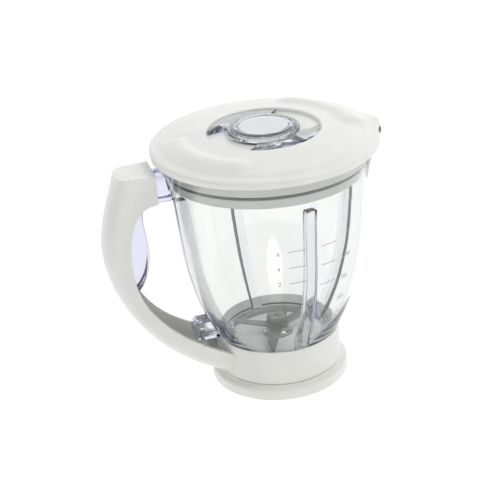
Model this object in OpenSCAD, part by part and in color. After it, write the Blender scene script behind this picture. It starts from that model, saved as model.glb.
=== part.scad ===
// Blender goblet: a clear tulip jug with a white handle shell and collar, a lid with a clear
// filler cap, and a base ring that carries the blade unit. Millimetres, +Z up, origin on the
// axis at floor level. The handle points along -X and the spout along +X.

/* [Goblet] */
// Outer radius of the goblet where the straight wall meets the rim flare
neck_r = 77; // [70:0.5:84]
// Height of the top of the goblet's rim
rim_z = 195.5; // [185:0.5:215]
// How far below the rim the straight wall meets the flare
neck_drop = 30.5; // [24:0.5:40]
// Radius of the cove that flares the wall out to the rim
flare_r = 76; // [60:1:110]
// Lean of the straight wall, in degrees from upright
wall_lean = 5; // [3:0.5:7]
// Height where the straight wall meets the tulip curve
belly_z = 125; // [105:1:135]
// Outer radius of the goblet at the collar's top edge
waist_r = 48.8; // [47:0.1:52]
// Wall thickness of the goblet
wall = 3; // [2.4:0.1:4]
// Extra wall thickness at the goblet's floor
foot_extra = 3; // [1:0.1:4]
// Angle of the first of the four inner ribs
rib_angle = 10; // [0:1:30]
// Width of an inner rib
rib_w = 8; // [5:0.5:12]
// Depth of an inner rib from the wall
rib_depth = 8; // [5:0.5:12]

/* [Base] */
// Outer radius of the base ring's flange
flange_r = 54.4; // [52:0.1:60]
// Height of the base ring's flange at its outer edge
flange_h = 8.7; // [7:0.1:10]
// Wall thickness of the base ring
base_wall = 2.6; // [2:0.1:3.5]
// Height of the goblet's inner floor
floor_z = 30; // [28:0.5:32]
// Height of the collar's top edge
collar_top_z = 40; // [38:0.5:46]
// Outer radius of the collar
collar_r = 49.3; // [49:0.1:53]
// Turn that frees the goblet from the base ring, in degrees
bayonet_turn = 30; // [20:1:40]

/* [Handle] */
// How far the handle stands out from the goblet's rim
handle_stand = 45.5; // [36:0.5:60]
// How far the handle's flat top lies below the rim
handle_drop = 7.5; // [5:0.5:12]
// Width of the handle at the grip
handle_w = 31; // [26:0.5:38]
// Wall thickness of the handle shell
shell_wall = 3; // [2:0.1:4]

/* [Lid] */
// How far the lid's rim stands out from the goblet's rim
lid_overhang = 0.6; // [0.4:0.1:3]
// Rise of the lid's dome above its rim
dome_h = 9; // [6:0.5:14]
// Wall thickness of the lid
lid_wall = 2.5; // [2:0.1:3.5]
// How far the spout's tip stands out from the lid's rim
spout_reach = 4; // [2:0.5:6]
// Radius of the filler hole
filler_r = 25; // [20:0.5:28]
// Outer radius of the filler cap's wings
wing_r = 42; // [38:0.5:46]

/* [Blades] */
// Radius swept by the blade tips
blade_r = 36; // [28:0.5:36]
// Thickness of a blade
blade_t = 1.5; // [1:0.1:2]
// Radius of the drive shaft
shaft_r = 4; // [3:0.1:4.5]

/* [Clearances] */
// Gap between pieces that turn or slide past each other
gap = 0.3; // [0.2:0.05:0.5]
// Radial clearance of the shaft in its bearings
running = 0.05; // [0.02:0.01:0.1]

/* [Hidden] */
$fn = 96;
eps = 0.01;
steps = 14;

white = "#e4e4dd";
clear = "#dfe3f2";
grey = "#c9cac6";
steel = "#8f948f";
rubber = "#55585e";
bronze = "#a9794a";

// --- goblet outline -------------------------------------------------------------------------
neck_z = rim_z - neck_drop;
// Radius and centre of the tulip arc, tangent to the straight wall and through the waist
belly_r = neck_r - (neck_z - belly_z) * tan(wall_lean);
arc_dr = waist_r - belly_r;
arc_dz = collar_top_z - belly_z;
tulip_r = (arc_dr * arc_dr + arc_dz * arc_dz)
    / (2 * (arc_dz * sin(wall_lean) - arc_dr * cos(wall_lean)));
tulip_cr = belly_r - tulip_r * cos(wall_lean);
tulip_cz = belly_z + tulip_r * sin(wall_lean);

// Outer radius of the goblet at height z
function flare(z) = neck_r + flare_r * cos(wall_lean)
    - sqrt(pow(flare_r, 2) - pow(z - neck_z + flare_r * sin(wall_lean), 2));
function goblet_r(z) = z < belly_z ? tulip_cr + sqrt(pow(tulip_r, 2) - pow(z - tulip_cz, 2))
    : z < neck_z ? belly_r + (z - belly_z) * tan(wall_lean) : flare(z);
// Wall thickness at height z: it grows from the plain wall towards the floor
thick_end_z = floor_z + 45;
function wall_at(z) = wall
    + (z < thick_end_z ? foot_extra * pow((thick_end_z - z) / (thick_end_z - floor_z), 2) : 0);
function inner_r(z) = goblet_r(z) - wall_at(z);
rim_r = flare(rim_z);
lid_r = rim_r + lid_overhang;
handle_reach = rim_r + handle_stand;
handle_top_z = rim_z - handle_drop;
function heights(a, b, n) = [for (i = [0:n]) a + (b - a) * i / n];
// Points up the outside of the flare, and down the inside of the wall from neck to floor
flare_line = [for (z = heights(neck_z, rim_z - 1, steps)) [goblet_r(z), z]];
inner_line = concat(
    [[inner_r(neck_z), neck_z]],
    [for (z = heights(belly_z, thick_end_z, steps)) [inner_r(z), z]],
    [for (z = heights(thick_end_z - 4, floor_z, steps)) [inner_r(z), z]]);

// --- base stack -----------------------------------------------------------------------------
bore_r = inner_r(floor_z);
shoulder_z = collar_top_z - 6.3;
seal_w = 4;
seal_h = 2;
foot_wall = 5.1;
foot_r = bore_r + foot_wall;
foot_z = floor_z - 8.5;
seal_z = foot_z - running - seal_h;
rim_plate_h = 3.5;
plate_z = seal_z - rim_plate_h;
ledge_h = 3;
ledge_z = plate_z - ledge_h;
tube_r_in = foot_r + gap;
collar_wall = 2.7;
tube_r_out = collar_r - collar_wall - gap;
shoulder_h = flange_h + 2.3;
lug_h = 3;
lug_reach = 1.7;
lug_span = 24;
lug_z = foot_z + 2.5;
socket_r = flange_r - base_wall - 0.4;
socket_h = flange_h - base_wall;
notch_span = 12;
notch_depth = 1.4;
screw_circle_r = (bore_r + foot_r) / 2 + 0.7;
screw_r = 1.2;
screw_head_r = 2.3;

// --- bearing stack --------------------------------------------------------------------------
bearing_r = 6.5;
bearing_h = 7.5;
housing_r = 8.9;
housing_flange_r = 12.5;
gasket_h = 1;
housing_flange_z = floor_z + gasket_h;
housing_top_z = housing_flange_z + 5.5;
coupler_z = socket_h + 0.5;
coupler_r = 15;
coupler_hub_r = 9;
coupler_disc_h = 1.8;
coupler_tooth_w = 4;
coupler_tooth_h = 4;
coupler_top_z = coupler_z + 7.9;
washer_h = 1.2;
washer_r = 7;
housing_low_z = coupler_top_z + washer_h + gap;
shaft_seal_h = 2.7;
seal_low_z = housing_top_z - shaft_seal_h - 0.2;
nut_h = 4;
nut_af = 26;
carrier_top_h = 2.5;
pilot_r = 5;
pilot_h = 4.5;
pin_r = 1;
pin_z = coupler_top_z - 2;

// --- blades ---------------------------------------------------------------------------------
hub_w = 15;
nut_w = hub_w - 1;
blade_z = housing_top_z + gap + washer_h;
upper_z = blade_z + blade_t;
blade_nut_z = upper_z + blade_t;
blade_nut_h = 5.5;
shaft_top_z = blade_nut_z + blade_nut_h - 1.5;
blade_up = 18;
blade_down = 10;
lower_blade_angle = 65;

// --- handle ---------------------------------------------------------------------------------
grip_z = 0.68 * handle_top_z;
top_x = handle_reach - 15;
foot_x = collar_r - 1.3;
arm_low_z = shoulder_h + 2.2;
shell_end_x = flare(rim_z) + 1.2;
edge_x = handle_reach - 19.6;
edge_top_z = handle_top_z - 22.4;
arm_high_z = collar_top_z - 7.6;
outer_top = [[-top_x, handle_top_z], [-top_x - 5.5, handle_top_z - 18],
    [-handle_reach, grip_z + 20], [-handle_reach, grip_z]];
outer_low = [[-handle_reach, grip_z], [-handle_reach, grip_z - 42],
    [-handle_reach + 33, arm_low_z + 17], [-foot_x, arm_low_z]];
edge_top = [[-shell_end_x, edge_top_z], [-shell_end_x - 16, edge_top_z],
    [-edge_x, grip_z + 20], [-edge_x, grip_z - 6]];
edge_low = [[-edge_x, grip_z - 6], [-edge_x, grip_z - 36],
    [-edge_x + 8, arm_high_z + 26], [-collar_r + 6, arm_high_z]];
core_low_z = grip_z - 35;
core_bulge = 15;
core_side = handle_w / 2 - shell_wall - 0.2;
// bottom lug of the goblet and the screw that holds the shell to it
lug_low_z = collar_top_z + 2.5;
lug_high_z = lug_low_z + 15.5;
lug_end_x = goblet_r(lug_low_z + 7.5) + 15;
lug_low_side = 7;
screw_x = lug_end_x - 7;
screw_seat_z = arm_low_z + 12;
screw_seat_r = 3.6;
screw_hole_r = 1.9;

function bez(p, t) = pow(1 - t, 3) * p[0] + 3 * pow(1 - t, 2) * t * p[1]
    + 3 * (1 - t) * t * t * p[2] + pow(t, 3) * p[3];
function bez_dir(p, t) = pow(1 - t, 2) * (p[1] - p[0]) + 2 * (1 - t) * t * (p[2] - p[1])
    + t * t * (p[3] - p[2]);
// Points along a Bezier, moved sideways by off, towards the left of its run
function curve(p, off = 0) = [for (i = [0:steps])
    let (t = i / steps, d = bez_dir(p, t), u = d / norm(d)) bez(p, t) + off * [-u[1], u[0]]];
function rev(v) = [for (i = [len(v) - 1:-1:0]) v[i]];

// --- lid ------------------------------------------------------------------------------------
lid_z = rim_z + 0.5;
lid_edge = 2.4;
dome_z = lid_z + lid_edge;
dome_r = (lid_r * lid_r + dome_h * dome_h) / (2 * dome_h);
// Height of the lid's upper surface at radius r
function dome(r) = dome_z + dome_h - dome_r + sqrt(dome_r * dome_r - r * r);
skirt_gap = 1.2;
skirt_t = 2;
skirt_low_z = rim_z - 22;
seal_groove_z = rim_z - 14;
seal_ring_h = 2.4;
seal_ring_w = 2;
recess_r = wing_r + 0.6;
recess_z = dome(recess_r) - 2.6;
spigot_t = 2.5;
spigot_low_z = recess_z - 11;
cap_skirt_r = filler_r - 1;
cap_wall = 2.6;
cap_low_z = spigot_low_z - 4;
cap_flange_z = recess_z + 0.05;
wing_h = 2.7;
cap_ring_r = filler_r + 2.3;
cap_top_z = cap_flange_z + 6.5;
cap_button_r = filler_r - 2.2;
wing_span = 106;
wing_start = 241;
cap_seal_z = recess_z - 2.6;
cap_seal_h = 2.2;
cap_seal_depth = 1.3;
ridge_r = 69;
ridge_w = 22;
ridge_h = 3;
ridge_span = 66;
ridge_start = 174;

// A ring sector with a rectangular section
module sector(r0, r1, z0, h, span, start) {
    rotate([0, 0, start])
        rotate_extrude(angle = span)
            translate([r0, z0])
                square([r1 - r0, h]);
}

module tube(r0, r1, z0, h) {
    translate([0, 0, z0])
        difference() {
            cylinder(r = r1, h = h);
            translate([0, 0, -1])
                cylinder(r = r0, h = h + 2);
        }
}

// A flat shape in the X-Z plane, spread evenly to both sides of Y = 0
module side_plate(points, width) {
    rotate([90, 0, 0])
        linear_extrude(height = width, center = true)
            polygon(points);
}

module base_ring() {
    color(white)
        difference() {
            rotate_extrude()
                polygon([
                    [socket_r, 0],
                    [flange_r - 0.8, 0],
                    [flange_r, 0.8],
                    [flange_r, flange_h - 1.2],
                    [flange_r - 1.2, flange_h],
                    [collar_r + 1, flange_h + 0.8],
                    [collar_r, shoulder_h],
                    [tube_r_out, shoulder_h],
                    [tube_r_out, shoulder_z - gap],
                    [tube_r_in, shoulder_z - gap],
                    [tube_r_in, plate_z],
                    [bore_r, plate_z],
                    [bore_r, ledge_z],
                    [tube_r_in + 0.8, ledge_z],
                    [tube_r_in + 0.8, shoulder_h - base_wall],
                    [socket_r, socket_h]
                ]);
            // the groove that the goblet's lugs turn in, and the slots they enter by
            tube(foot_r - 1, foot_r + lug_reach + gap, lug_z - gap, lug_h + 2 * gap);
            for (k = [0:2])
                sector(foot_r - 1, foot_r + lug_reach + gap / 2, lug_z, shoulder_z,
                    lug_span + 4, 120 * k + bayonet_turn - lug_span / 2 - 2);
            // recesses for the dogs of the power unit
            for (k = [0:3])
                sector(socket_r - 1, socket_r + notch_depth, -1, socket_h,
                    notch_span, 90 * k + 45 - notch_span / 2);
            for (k = [0:2])
                rotate([0, 0, 120 * k + 90])
                    translate([screw_circle_r, 0, ledge_z - 1])
                        cylinder(r = screw_r + gap, h = ledge_h + 2);
        }
}

module blade_carrier() {
    color(grey)
        difference() {
            rotate_extrude()
                polygon([
                    [housing_r + 0.1, floor_z - carrier_top_h],
                    [bore_r - gap - carrier_top_h, floor_z - carrier_top_h],
                    [bore_r - gap - carrier_top_h, plate_z],
                    [foot_r, plate_z],
                    [foot_r, seal_z],
                    [bore_r - gap, seal_z],
                    [bore_r - gap, floor_z - 1],
                    [bore_r - gap - 1, floor_z],
                    [housing_r + 0.1, floor_z]
                ]);
            for (k = [0:2])
                rotate([0, 0, 120 * k + 90])
                    translate([screw_circle_r, 0, plate_z - 1])
                        cylinder(r = screw_r, h = rim_plate_h);
        }
}

module carrier_screws() {
    color(steel)
        for (k = [0:2])
            rotate([0, 0, 120 * k + 90])
                translate([screw_circle_r, 0, 0]) {
                    translate([0, 0, ledge_z - 1.6])
                        cylinder(r = screw_head_r, h = 1.6);
                    translate([0, 0, ledge_z - eps])
                        cylinder(r = screw_r, h = ledge_h + rim_plate_h - 1.2);
                }
}

module base_seal() {
    color(rubber)
        tube(bore_r + 0.2, bore_r + 0.2 + seal_w, seal_z, seal_h);
}

module bearing_housing() {
    color(steel)
        rotate_extrude()
            polygon([
                [bearing_r, housing_low_z],
                [housing_r, housing_low_z],
                [housing_r, housing_flange_z],
                [housing_flange_r, housing_flange_z],
                [housing_flange_r, housing_flange_z + 1.8],
                [housing_flange_r - 0.7, housing_flange_z + 2.5],
                [housing_r + 0.6, housing_flange_z + 2.5],
                [housing_r, housing_top_z],
                [bearing_r, housing_top_z]
            ]);
}

module housing_gasket() {
    color(rubber)
        tube(housing_r + 0.1, housing_flange_r, floor_z, gasket_h);
}

module housing_nut() {
    color(steel)
        translate([0, 0, floor_z - carrier_top_h - nut_h])
            difference() {
                cylinder(r = nut_af / 2 / cos(30), h = nut_h, $fn = 6);
                translate([0, 0, -1])
                    cylinder(r = housing_r, h = nut_h + 2);
            }
}

module bearing_upper() {
    color(bronze)
        tube(shaft_r + running, bearing_r, seal_low_z - bearing_h, bearing_h);
}

module bearing_lower() {
    color(bronze)
        tube(shaft_r + running, bearing_r, housing_low_z, bearing_h);
}

module shaft_seal() {
    color(rubber)
        tube(shaft_r + running, bearing_r, seal_low_z, shaft_seal_h);
}

module pin_hole(length) {
    translate([0, 0, pin_z])
        rotate([90, 0, 0])
            cylinder(r = pin_r, h = length, center = true);
}

module drive_shaft() {
    color(steel)
        difference() {
            translate([0, 0, coupler_z + pilot_h])
                cylinder(r = shaft_r, h = shaft_top_z - coupler_z - pilot_h);
            pin_hole(30);
        }
}

module thrust_washer() {
    color(steel)
        tube(shaft_r, washer_r, coupler_top_z, washer_h);
}

module drive_coupler() {
    color(rubber)
        difference() {
            union() {
                translate([0, 0, coupler_z])
                    cylinder(r = coupler_hub_r, h = coupler_top_z - coupler_z);
                translate([0, 0, coupler_z + coupler_tooth_h])
                    cylinder(r = coupler_r, h = coupler_disc_h);
                for (k = [0:5])
                    rotate([0, 0, 60 * k])
                        translate([coupler_hub_r - 0.5, -coupler_tooth_w / 2, coupler_z])
                            cube([coupler_r - coupler_hub_r, coupler_tooth_w,
                                coupler_tooth_h + eps]);
            }
            translate([0, 0, coupler_z - 1])
                cylinder(r = pilot_r, h = pilot_h + 1);
            cylinder(r = shaft_r, h = 40);
            pin_hole(30);
        }
}

module coupler_pin() {
    color(steel)
        pin_hole(2 * coupler_hub_r - 2);
}

module blade_washer() {
    color(steel)
        tube(shaft_r, washer_r, housing_top_z + gap, washer_h);
}

// Two opposite arms that leave a square hub and tilt up (positive) or down
module blade(z, tilt) {
    arm = (blade_r - hub_w / 2) / cos(tilt);
    difference() {
        union() {
            translate([-hub_w / 2, -hub_w / 2, z])
                cube([hub_w, hub_w, blade_t]);
            for (k = [0:1])
                rotate([0, 0, 180 * k])
                    translate([hub_w / 2, 0, z + (tilt > 0 ? 0 : blade_t)])
                        rotate([0, -tilt, 0])
                            translate([0, 0, tilt > 0 ? 0 : -blade_t])
                                linear_extrude(height = blade_t)
                                    polygon([
                                        [0, -hub_w * 0.37],
                                        [arm * 0.72, -hub_w * 0.24],
                                        [arm, hub_w * 0.2],
                                        [arm - 1, hub_w * 0.26],
                                        [0, hub_w * 0.37]
                                    ]);
        }
        translate([0, 0, z - 5])
            cylinder(r = shaft_r + running, h = 20);
    }
}

module blade_lower() {
    color(steel)
        rotate([0, 0, lower_blade_angle])
            blade(blade_z, -blade_down);
}

module blade_upper() {
    color(steel)
        blade(upper_z, blade_up);
}

module blade_nut() {
    cap_h = 1;
    color(steel)
        difference() {
            translate([0, 0, blade_nut_z]) {
                translate([-nut_w / 2, -nut_w / 2, 0])
                    cube([nut_w, nut_w, blade_nut_h - cap_h]);
                translate([0, 0, blade_nut_h - cap_h - eps])
                    cylinder(r = nut_w / 2 - 0.6, h = cap_h);
            }
            cylinder(r = shaft_r, h = shaft_top_z);
        }
}

// The goblet from its foot to the neck, with the bayonet lugs and the handle's bottom lug
module goblet() {
    color(clear, 0.4)
        union() {
            rotate_extrude()
                polygon(concat(
                    [[bore_r, foot_z], [foot_r, foot_z], [foot_r, shoulder_z]],
                    [for (z = heights(shoulder_z, belly_z, steps)) [goblet_r(z), z]],
                    [[goblet_r(neck_z), neck_z]],
                    inner_line
                ));
            for (k = [0:2])
                sector(foot_r - 1, foot_r + lug_reach, lug_z, lug_h,
                    lug_span, 120 * k - lug_span / 2);
            // bottom lug, which the handle shell is screwed to
            difference() {
                side_plate([
                    [-goblet_r(lug_high_z) + 1, lug_high_z],
                    [-lug_end_x + 4, lug_high_z],
                    [-lug_end_x, lug_high_z - 4],
                    [-lug_end_x, lug_low_z + 4],
                    [-lug_end_x + 4, lug_low_z],
                    [-goblet_r(lug_low_z) + 1, lug_low_z]
                ], 2 * lug_low_side);
                translate([-screw_x, 0, lug_low_z - 1])
                    cylinder(r = screw_hole_r - 0.4, h = 9);
            }
        }
}

// The goblet above the neck: the flared rim with the pouring spout
module goblet_rim() {
    spout_r = 14;
    spout_x = lid_r + spout_reach - spout_r - 0.6;
    spout_tilt = 28;
    color(clear, 0.4)
        difference() {
            union() {
                rotate_extrude()
                    polygon(concat(
                        flare_line,
                        [[goblet_r(rim_z - 1) - 0.6, rim_z], [inner_r(rim_z - 1) + 0.6, rim_z]],
                        [for (z = heights(rim_z - 1, neck_z, steps)) [inner_r(z), z]]
                    ));
                // spout: a tilted tube that leaves the wall at the rim
                intersection() {
                    translate([spout_x, 0, rim_z])
                        rotate([0, spout_tilt, 0])
                            translate([0, 0, -60])
                                cylinder(r = spout_r, h = 80);
                    translate([20, -30, neck_z])
                        cube([80, 60, rim_z - neck_z]);
                }
            }
            rotate_extrude()
                polygon(concat(
                    [[0, neck_z - 1], [inner_r(neck_z), neck_z - 1]],
                    [for (z = heights(neck_z, rim_z + 2, steps)) [inner_r(z), z]],
                    [[0, rim_z + 2]]
                ));
            translate([spout_x, 0, rim_z])
                rotate([0, spout_tilt, 0])
                    translate([0, 0, -60])
                        cylinder(r = spout_r - wall + 0.4, h = 90);
        }
}

// Four upright ribs inside the goblet, trimmed to its wall
module goblet_ribs() {
    low_z = floor_z + 0.6;
    color(clear, 0.4)
        intersection() {
            for (k = [0:3])
                rotate([0, 0, rib_angle + 90 * k])
                    rotate([90, 0, 0])
                        linear_extrude(height = rib_w, center = true)
                            polygon(concat(
                                [[bore_r + 0.5, low_z]],
                                [for (z = heights(low_z, neck_z, steps)) [inner_r(z) + wall / 2, z]],
                                [[inner_r(neck_z) - 1, neck_z]],
                                [for (z = heights(neck_z - 4, floor_z + 12, steps))
                                    [inner_r(z) - rib_depth, z]]
                            ));
            rotate_extrude()
                polygon(concat([[0, neck_z]], inner_line, [[0, floor_z]]));
        }
}

// Grip and top lug, moulded on the goblet's wall
module handle_core() {
    inner = [[-shell_end_x, edge_top_z + 0.3], [-shell_end_x - 18, edge_top_z + 0.3],
        [-edge_x + core_bulge - 2, grip_z + 26], [-edge_x + core_bulge, grip_z]];
    inner_low = [[-edge_x + core_bulge, grip_z], [-edge_x + core_bulge, grip_z - 16],
        [-edge_x + core_bulge - 6, core_low_z + 4], [-edge_x + 1, core_low_z]];
    top_run = curve(outer_top, shell_wall + 0.2);
    inner_x = goblet_r(edge_top_z) - wall;
    color(clear, 0.4)
        difference() {
            intersection() {
                side_plate(concat(
                    [[-inner_x, handle_top_z - shell_wall - 0.2]],
                    [for (p = top_run) if (p[1] < handle_top_z - shell_wall - 0.2) p],
                    [for (p = curve(outer_low, shell_wall + 0.2)) if (p[1] > core_low_z + 0.5) p],
                    rev(curve(inner_low)),
                    rev(curve(inner)),
                    [[-inner_x, edge_top_z + 0.3]]
                ), 2 * core_side);
                translate([-200, -50, core_low_z])
                    cube([200, 100, 120]);
            }
            // the goblet's outer wall
            rotate_extrude()
                polygon(concat(
                    [[0, belly_z], [goblet_r(belly_z), belly_z]],
                    flare_line,
                    [[0, rim_z - 1]]
                ));
        }
}

// Side outline of the handle shell
function shell_outline() = concat(
    [[-shell_end_x, handle_top_z]],
    curve(outer_top),
    curve(outer_low),
    [[-foot_x + 8, arm_low_z], [-collar_r + 8, arm_high_z]],
    rev(curve(edge_low)),
    rev(curve(edge_top)));

// Side outline of the channel inside it, one wall inside the outer run
function channel_outline() = concat(
    [[-shell_end_x + 1, handle_top_z - shell_wall]],
    [for (p = curve(outer_top, shell_wall)) if (p[1] < handle_top_z - shell_wall) p],
    [for (p = curve(outer_low, shell_wall)) if (p[0] < -foot_x - 6) p],
    [[-foot_x - 5, arm_low_z + 26], [-shell_end_x + 30, grip_z - 20],
        [-shell_end_x + 1, grip_z]]);

// Plan outline of the handle shell: it widens towards the goblet
module handle_plan(end_x, end_w) {
    half = handle_w / 2;
    polygon([
        [-handle_reach - 1, -half + 4],
        [-handle_reach + 9, -half],
        [-handle_reach + 32, -half],
        [-end_x, -end_w],
        [0, -end_w],
        [0, end_w],
        [-end_x, end_w],
        [-handle_reach + 32, half],
        [-handle_reach + 9, half],
        [-handle_reach - 1, half - 4]
    ]);
}

module handle_shell() {
    half = handle_w / 2;
    color(white)
        difference() {
            union() {
                difference() {
                    union() {
                        intersection() {
                            side_plate(shell_outline(), 80);
                            union() {
                                translate([0, 0, grip_z - 20])
                                    linear_extrude(height = 100)
                                        handle_plan(shell_end_x, half + 1.5);
                                linear_extrude(height = grip_z - 20 + eps)
                                    handle_plan(collar_r - 6, half + 9.5);
                            }
                        }
                        collar();
                    }
                    // channel behind the grip, open towards the goblet
                    side_plate(channel_outline(), handle_w - 2 * shell_wall);
                }
                screw_post();
            }
            // room for the goblet: the waist above, the base ring's tube below
            rotate_extrude()
                polygon(concat(
                    [[0, 0], [collar_r - collar_wall, 0], [collar_r - collar_wall, shoulder_z]],
                    [for (z = heights(shoulder_z, belly_z, steps)) [goblet_r(z) + 0.1, z]],
                    [[0, belly_z]]
                ));
            // counterbore for the fixing screw
            translate([-screw_x, 0, 0])
                cylinder(r = screw_seat_r, h = screw_seat_z);
            translate([-screw_x, 0, 0])
                cylinder(r = screw_hole_r, h = lug_low_z + 8);
        }
}

// Post inside the channel: it seats the screw's head and meets the goblet's bottom lug
module screw_post() {
    translate([-screw_x, 0, screw_seat_z - 5])
        cylinder(r = screw_seat_r + 1.8, h = 7);
    translate([-screw_x, 0, screw_seat_z])
        cylinder(r = screw_hole_r + 2, h = lug_low_z - 0.1 - screw_seat_z);
}

module collar() {
    translate([0, 0, shoulder_h + gap])
        cylinder(r = collar_r, h = collar_top_z - shoulder_h - gap);
}

module handle_screw() {
    color(steel)
        translate([-screw_x, 0, screw_seat_z - 2.5]) {
            cylinder(r = screw_seat_r - 0.4, h = 2.5);
            cylinder(r = screw_hole_r - 0.4, h = lug_low_z + 6 - screw_seat_z);
        }
}

module spout_plan(r, reach) {
    tip = 4;
    half = acos((r - tip) / (r + reach - tip));
    circle(r = r);
    translate([r + reach - tip, 0])
        circle(r = tip);
    polygon([
        [0, 0],
        [(r - 1) * cos(half), -(r - 1) * sin(half)],
        [r + reach - tip + tip * cos(half), -tip * sin(half)],
        [r + reach - tip + tip * cos(half), tip * sin(half)],
        [(r - 1) * cos(half), (r - 1) * sin(half)]
    ]);
}

module lid() {
    color(white)
        difference() {
            union() {
                // rim plate with the spout's beak
                translate([0, 0, lid_z])
                    linear_extrude(height = lid_edge)
                        spout_plan(lid_r, spout_reach);
                // dome
                rotate_extrude()
                    polygon(concat(
                        [[0, lid_z], [lid_r - 1, lid_z]],
                        [for (k = [0:steps]) let (r = (lid_r - 1) * (1 - k / steps)) [r, dome(r)]]
                    ));
                // skirt, parallel to the goblet's inner wall
                rotate_extrude()
                    polygon(concat(
                        [for (z = heights(skirt_low_z, lid_z, 6)) [inner_r(z) - skirt_gap, z]],
                        [for (z = heights(lid_z, skirt_low_z, 6))
                            [inner_r(z) - skirt_gap - skirt_t - 1, z]]
                    ));
                // finger ridges
                for (k = [0:1])
                    rotate([0, 0, ridge_start + 180 * k])
                        ridge();
                tube(filler_r, filler_r + spigot_t, spigot_low_z, recess_z - spigot_low_z);
            }
            // hollow underside
            rotate_extrude()
                polygon(concat(
                    [[filler_r + spigot_t, spigot_low_z - 1]],
                    [[filler_r + spigot_t, recess_z - lid_wall]],
                    [[recess_r + lid_wall, recess_z - lid_wall]],
                    [for (k = [0:6]) let (r = recess_r + lid_wall
                        + (inner_r(lid_z) - skirt_gap - 8 - recess_r) * k / 6)
                        [r, dome(r) - lid_wall]],
                    [for (z = heights(lid_z - 0.5, skirt_low_z - 1, 2 * steps))
                        [inner_r(z) - skirt_gap - skirt_t - 1.2, z]]
                ));
            // recess for the filler cap's wings, and the filler hole
            translate([0, 0, recess_z])
                cylinder(r = recess_r, h = 30);
            cylinder(r = filler_r, h = 300);
            // groove for the lid seal
            rotate_extrude()
                translate([inner_r(seal_groove_z) - skirt_gap - seal_ring_w / 2, seal_groove_z])
                    square([10, seal_ring_h]);
        }
}

// A low curved finger grip with rounded ends
module ridge() {
    low = dome(ridge_r + ridge_w / 2) - 1;
    high = dome(ridge_r) + ridge_h;
    intersection() {
        union() {
            sector(ridge_r - ridge_w / 2, ridge_r + ridge_w / 2, low, high - low, ridge_span, 0);
            for (a = [0, ridge_span])
                rotate([0, 0, a])
                    translate([ridge_r, 0, low])
                        cylinder(r = ridge_w / 2, h = high - low);
        }
        rotate_extrude()
            translate([ridge_r, high - ridge_w * 1.2])
                circle(r = ridge_w * 1.2);
    }
}

module lid_seal() {
    color(rubber)
        tube(inner_r(seal_groove_z) - skirt_gap - seal_ring_w / 2, inner_r(seal_groove_z) - 0.15,
            seal_groove_z + 0.1, seal_ring_h - 0.2);
}

module filler_cap() {
    color(clear, 0.4)
        difference() {
            union() {
                // skirt that drops into the filler hole
                translate([0, 0, cap_low_z])
                    cylinder(r = cap_skirt_r, h = cap_flange_z - cap_low_z + 1);
                translate([0, 0, cap_flange_z])
                    cylinder(r = cap_ring_r, h = 4.2);
                translate([0, 0, cap_flange_z + 1])
                    cylinder(r = cap_button_r, h = cap_top_z - cap_flange_z - 1);
                for (k = [0:1])
                    sector(20, wing_r, cap_flange_z, wing_h, wing_span, wing_start + 180 * k);
            }
            translate([0, 0, cap_low_z - 1])
                cylinder(r = cap_skirt_r - cap_wall, h = cap_top_z - cap_low_z - cap_wall + 1);
            // groove around the skirt for the seal
            tube(cap_skirt_r - cap_seal_depth, cap_skirt_r + 1, cap_seal_z, cap_seal_h);
            // dished centre of the button
            translate([0, 0, cap_top_z - 0.8])
                cylinder(r = cap_button_r - 1.6, h = 5);
        }
}

module filler_cap_seal() {
    color(rubber)
        tube(cap_skirt_r - cap_seal_depth + 0.05, filler_r - running,
            cap_seal_z + 0.05, cap_seal_h - 0.1);
}

base_ring();
blade_carrier();
carrier_screws();
base_seal();
bearing_housing();
housing_gasket();
housing_nut();
bearing_upper();
bearing_lower();
shaft_seal();
drive_shaft();
thrust_washer();
drive_coupler();
coupler_pin();
blade_washer();
blade_lower();
blade_upper();
blade_nut();
goblet();
goblet_rim();
goblet_ribs();
handle_core();
handle_shell();
handle_screw();
lid();
lid_seal();
filler_cap();
filler_cap_seal();
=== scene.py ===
# %% [markdown]
# # A blender jug
# This lesson builds a countertop blender's jug: a clear tulip-shaped goblet with four inner ribs,
# a white handle and collar, a domed lid with a clear filler cap, and a base ring that carries the
# blades. The CAD model comes first and fixes every size. The pieces made here lie exactly where
# its parts lie, and ride on the same moving bodies. Lengths are written in millimetres and turned
# into metres as each piece is made.

# %% Load the frame
import math

import bmesh
import bpy
from mathutils import Matrix, Vector


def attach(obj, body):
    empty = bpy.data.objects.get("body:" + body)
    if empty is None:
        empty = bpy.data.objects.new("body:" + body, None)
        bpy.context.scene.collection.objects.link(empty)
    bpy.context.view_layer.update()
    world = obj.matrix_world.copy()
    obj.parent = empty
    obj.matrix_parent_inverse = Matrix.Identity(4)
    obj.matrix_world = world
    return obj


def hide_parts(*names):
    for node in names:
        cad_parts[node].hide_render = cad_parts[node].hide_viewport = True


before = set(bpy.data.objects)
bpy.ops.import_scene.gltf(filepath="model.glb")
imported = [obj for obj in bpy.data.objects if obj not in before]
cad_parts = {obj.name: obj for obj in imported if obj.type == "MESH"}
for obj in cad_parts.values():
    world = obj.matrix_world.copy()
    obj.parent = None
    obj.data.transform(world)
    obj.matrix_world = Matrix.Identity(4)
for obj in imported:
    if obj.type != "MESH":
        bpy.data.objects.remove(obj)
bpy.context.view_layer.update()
scene = bpy.context.scene
MM = 0.001

# %% [markdown]
# ## Tools of the bench
# Most pieces of a blender jug are turned or cut from a flat outline, so four helpers do most of
# the work. One starts a primitive, one selects what an operator will act on, one spins a profile
# about the upright axis as a lathe does, and one gives a flat outline its width. Each of them
# uses the same operators that you would call from Blender's menus, so every step can be tried by
# hand.

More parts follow.
